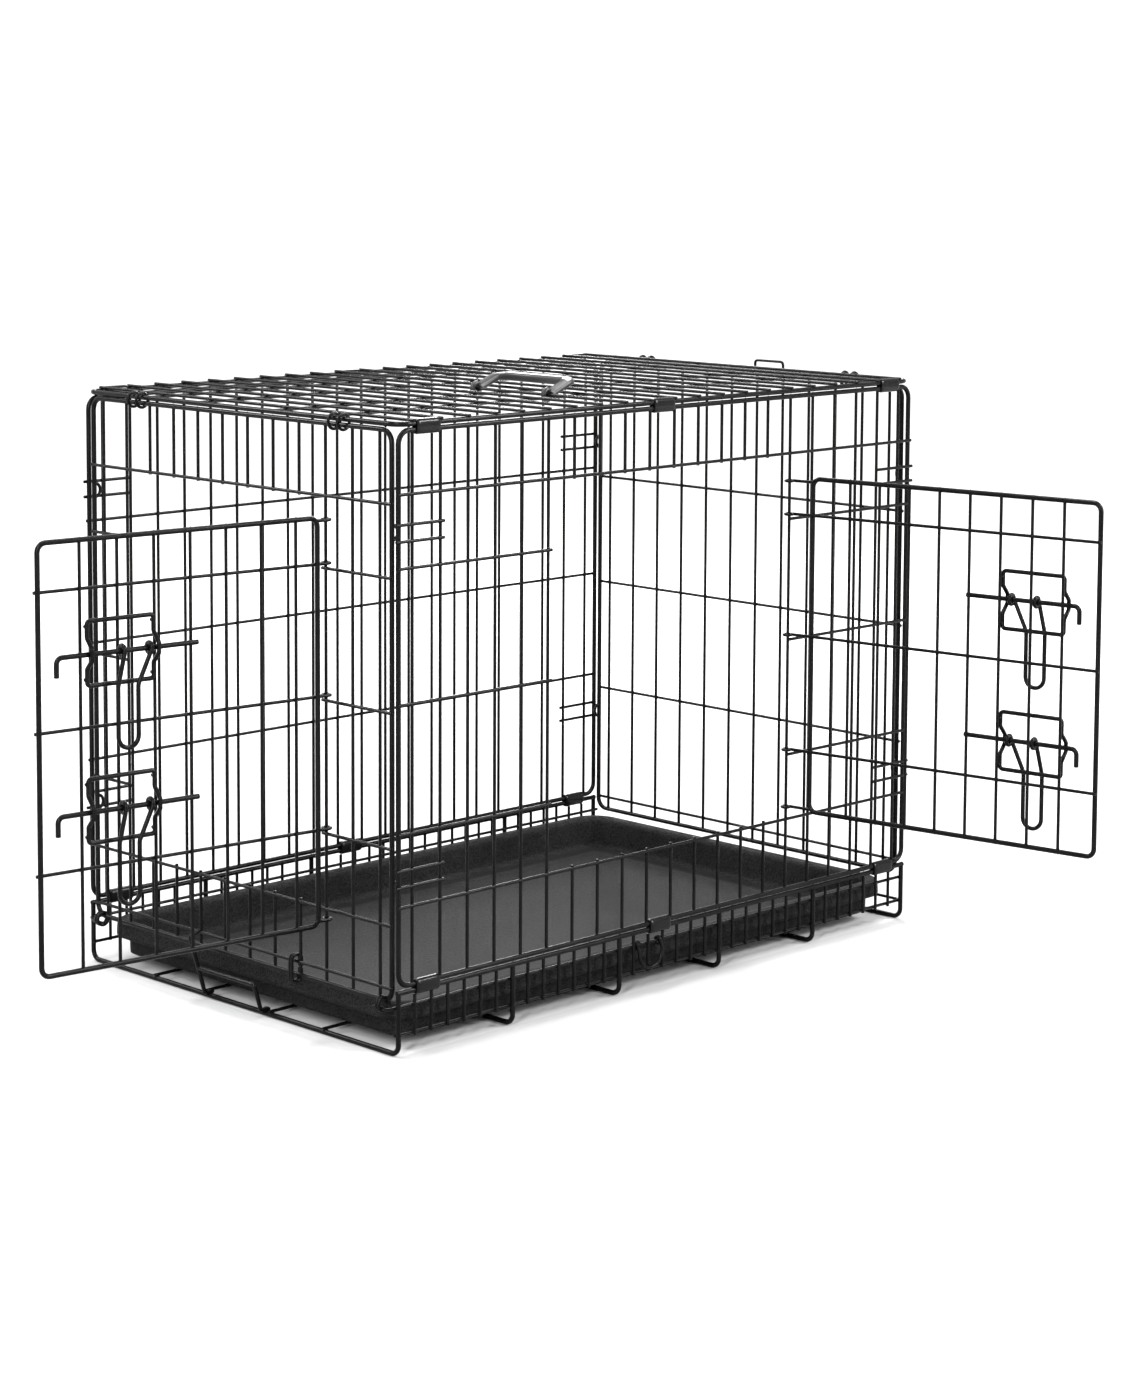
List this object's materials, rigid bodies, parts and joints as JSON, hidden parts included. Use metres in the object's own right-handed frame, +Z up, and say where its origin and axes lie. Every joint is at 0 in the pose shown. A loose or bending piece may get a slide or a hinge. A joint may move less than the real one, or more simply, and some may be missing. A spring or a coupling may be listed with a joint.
{
  "type": "folding wire dog crate",
  "caption": "Folding wire dog crate with a front and a side door, slide-bolt latches, a plastic floor tray and a carry handle.",
  "frame": {"origin": "middle of the underside of the floor wire under the front (door) end, at floor level", "axes": "+X along the crate from the front end to the rear end, +Y across it away from the side door, +Z up"},
  "size_m": [1.0188, 0.8006, 0.5889],
  "materials": {
    "black_powder_coat": "satin black powder coat over steel wire",
    "tray_plastic": "pebbled black moulded plastic",
    "handle_plastic": "smooth satin black moulded plastic",
    "black_plastic": "glossy black extruded plastic"
  },
  "bodies": {
    "crate": {"base_panel": "black_powder_coat", "side_panel_with_doorway": "black_powder_coat", "side_panel_plain": "black_powder_coat", "front_panel": "black_powder_coat", "top_panel": "black_powder_coat", "tray": "tray_plastic", "front_panel_link": "black_powder_coat", "hinge_sleeve_bottom_near_front": "black_plastic", "hinge_sleeve_bottom_near_middle": "black_plastic", "hinge_sleeve_bottom_near_rear": "black_plastic", "hinge_sleeve_bottom_far_front": "black_plastic", "hinge_sleeve_bottom_far_middle": "black_plastic", "hinge_sleeve_bottom_far_rear": "black_plastic", "hinge_sleeve_top_near_front": "black_plastic", "hinge_sleeve_top_near_middle": "black_plastic", "hinge_sleeve_top_near_rear": "black_plastic", "hinge_sleeve_top_far_front": "black_plastic", "hinge_sleeve_top_far_middle": "black_plastic", "hinge_sleeve_top_far_rear": "black_plastic", "hinge_ring_front_near_outer": "black_powder_coat", "hinge_ring_front_near_inner": "black_powder_coat", "hinge_ring_front_far_outer": "black_powder_coat", "hinge_ring_front_far_inner": "black_powder_coat", "hinge_ring_rear_near_outer": "black_powder_coat", "hinge_ring_rear_near_inner": "black_powder_coat", "hinge_ring_rear_far_outer": "black_powder_coat", "hinge_ring_rear_far_inner": "black_powder_coat"},
    "rear_panel": {"rear_panel": "black_powder_coat"},
    "front_door": {"front_door": "black_powder_coat", "front_door_lower_guide": "black_powder_coat", "front_door_upper_guide": "black_powder_coat"},
    "front_door_lower_bolt": {"front_door_lower_bolt": "black_powder_coat"},
    "front_door_lower_loop": {"front_door_lower_loop": "black_powder_coat"},
    "front_door_upper_bolt": {"front_door_upper_bolt": "black_powder_coat"},
    "front_door_upper_loop": {"front_door_upper_loop": "black_powder_coat"},
    "side_door": {"side_door": "black_powder_coat", "side_door_lower_guide": "black_powder_coat", "side_door_upper_guide": "black_powder_coat"},
    "side_door_lower_bolt": {"side_door_lower_bolt": "black_powder_coat"},
    "side_door_lower_loop": {"side_door_lower_loop": "black_powder_coat"},
    "side_door_upper_bolt": {"side_door_upper_bolt": "black_powder_coat"},
    "side_door_upper_loop": {"side_door_upper_loop": "black_powder_coat"},
    "carry_handle": {"carry_handle": "handle_plastic"},
    "tray_stop": {"tray_stop": "black_powder_coat"}
  },
  "joints": [
    {"name": "rear_panel_fold", "type": "hinge", "parent": "crate", "child": "rear_panel", "pos_m": [0.71, 0, 0.5645], "axis": [0, 1, 0], "range_deg": [0, 80]},
    {"name": "front_door_hinge", "type": "hinge", "parent": "crate", "child": "front_door", "pos_m": [0.00036, -0.12918, 0.3], "axis": [0, 0, 1], "range_deg": [-80, 40]},
    {"name": "front_door_lower_bolt_slide", "type": "slide", "parent": "front_door", "child": "front_door_lower_bolt", "axis": [-0.9945, 0.1045, 0], "range_m": [0, 0.02]},
    {"name": "front_door_lower_loop_lift", "type": "hinge", "parent": "front_door_lower_bolt", "child": "front_door_lower_loop", "pos_m": [-0.20955, -0.12257, 0.245], "axis": [-0.9945, 0.1045, 0], "range_deg": [0, 110]},
    {"name": "front_door_upper_bolt_slide", "type": "slide", "parent": "front_door", "child": "front_door_upper_bolt", "axis": [-0.9945, 0.1045, 0], "range_m": [0, 0.02]},
    {"name": "front_door_upper_loop_lift", "type": "hinge", "parent": "front_door_upper_bolt", "child": "front_door_upper_loop", "pos_m": [-0.20955, -0.12257, 0.382], "axis": [-0.9945, 0.1045, 0], "range_deg": [0, 110]},
    {"name": "side_door_hinge", "type": "hinge", "parent": "crate", "child": "side_door", "pos_m": [0.52425, -0.22714, 0.3], "axis": [0, 0, 1], "range_deg": [-97, 45]},
    {"name": "side_door_lower_bolt_slide", "type": "slide", "parent": "side_door", "child": "side_door_lower_bolt", "axis": [0.1392, -0.9903, 0], "range_m": [0, 0.02]},
    {"name": "side_door_lower_loop_lift", "type": "hinge", "parent": "side_door_lower_bolt", "child": "side_door_lower_loop", "pos_m": [0.57548, -0.48129, 0.245], "axis": [0.1392, -0.9903, 0], "range_deg": [0, 110]},
    {"name": "side_door_upper_bolt_slide", "type": "slide", "parent": "side_door", "child": "side_door_upper_bolt", "axis": [0.1392, -0.9903, 0], "range_m": [0, 0.02]},
    {"name": "side_door_upper_loop_lift", "type": "hinge", "parent": "side_door_upper_bolt", "child": "side_door_upper_loop", "pos_m": [0.57548, -0.48129, 0.382], "axis": [0.1392, -0.9903, 0], "range_deg": [0, 110]},
    {"name": "carry_handle_lift", "type": "hinge", "parent": "crate", "child": "carry_handle", "pos_m": [0.2873, -0.072, 0.573], "axis": [0, -1, 0], "range_deg": [0, 120]},
    {"name": "tray_stop_drop", "type": "hinge", "parent": "crate", "child": "tray_stop", "pos_m": [0, 0, 0.00177], "axis": [0, -1, 0], "range_deg": [0, 66]}
  ]
}
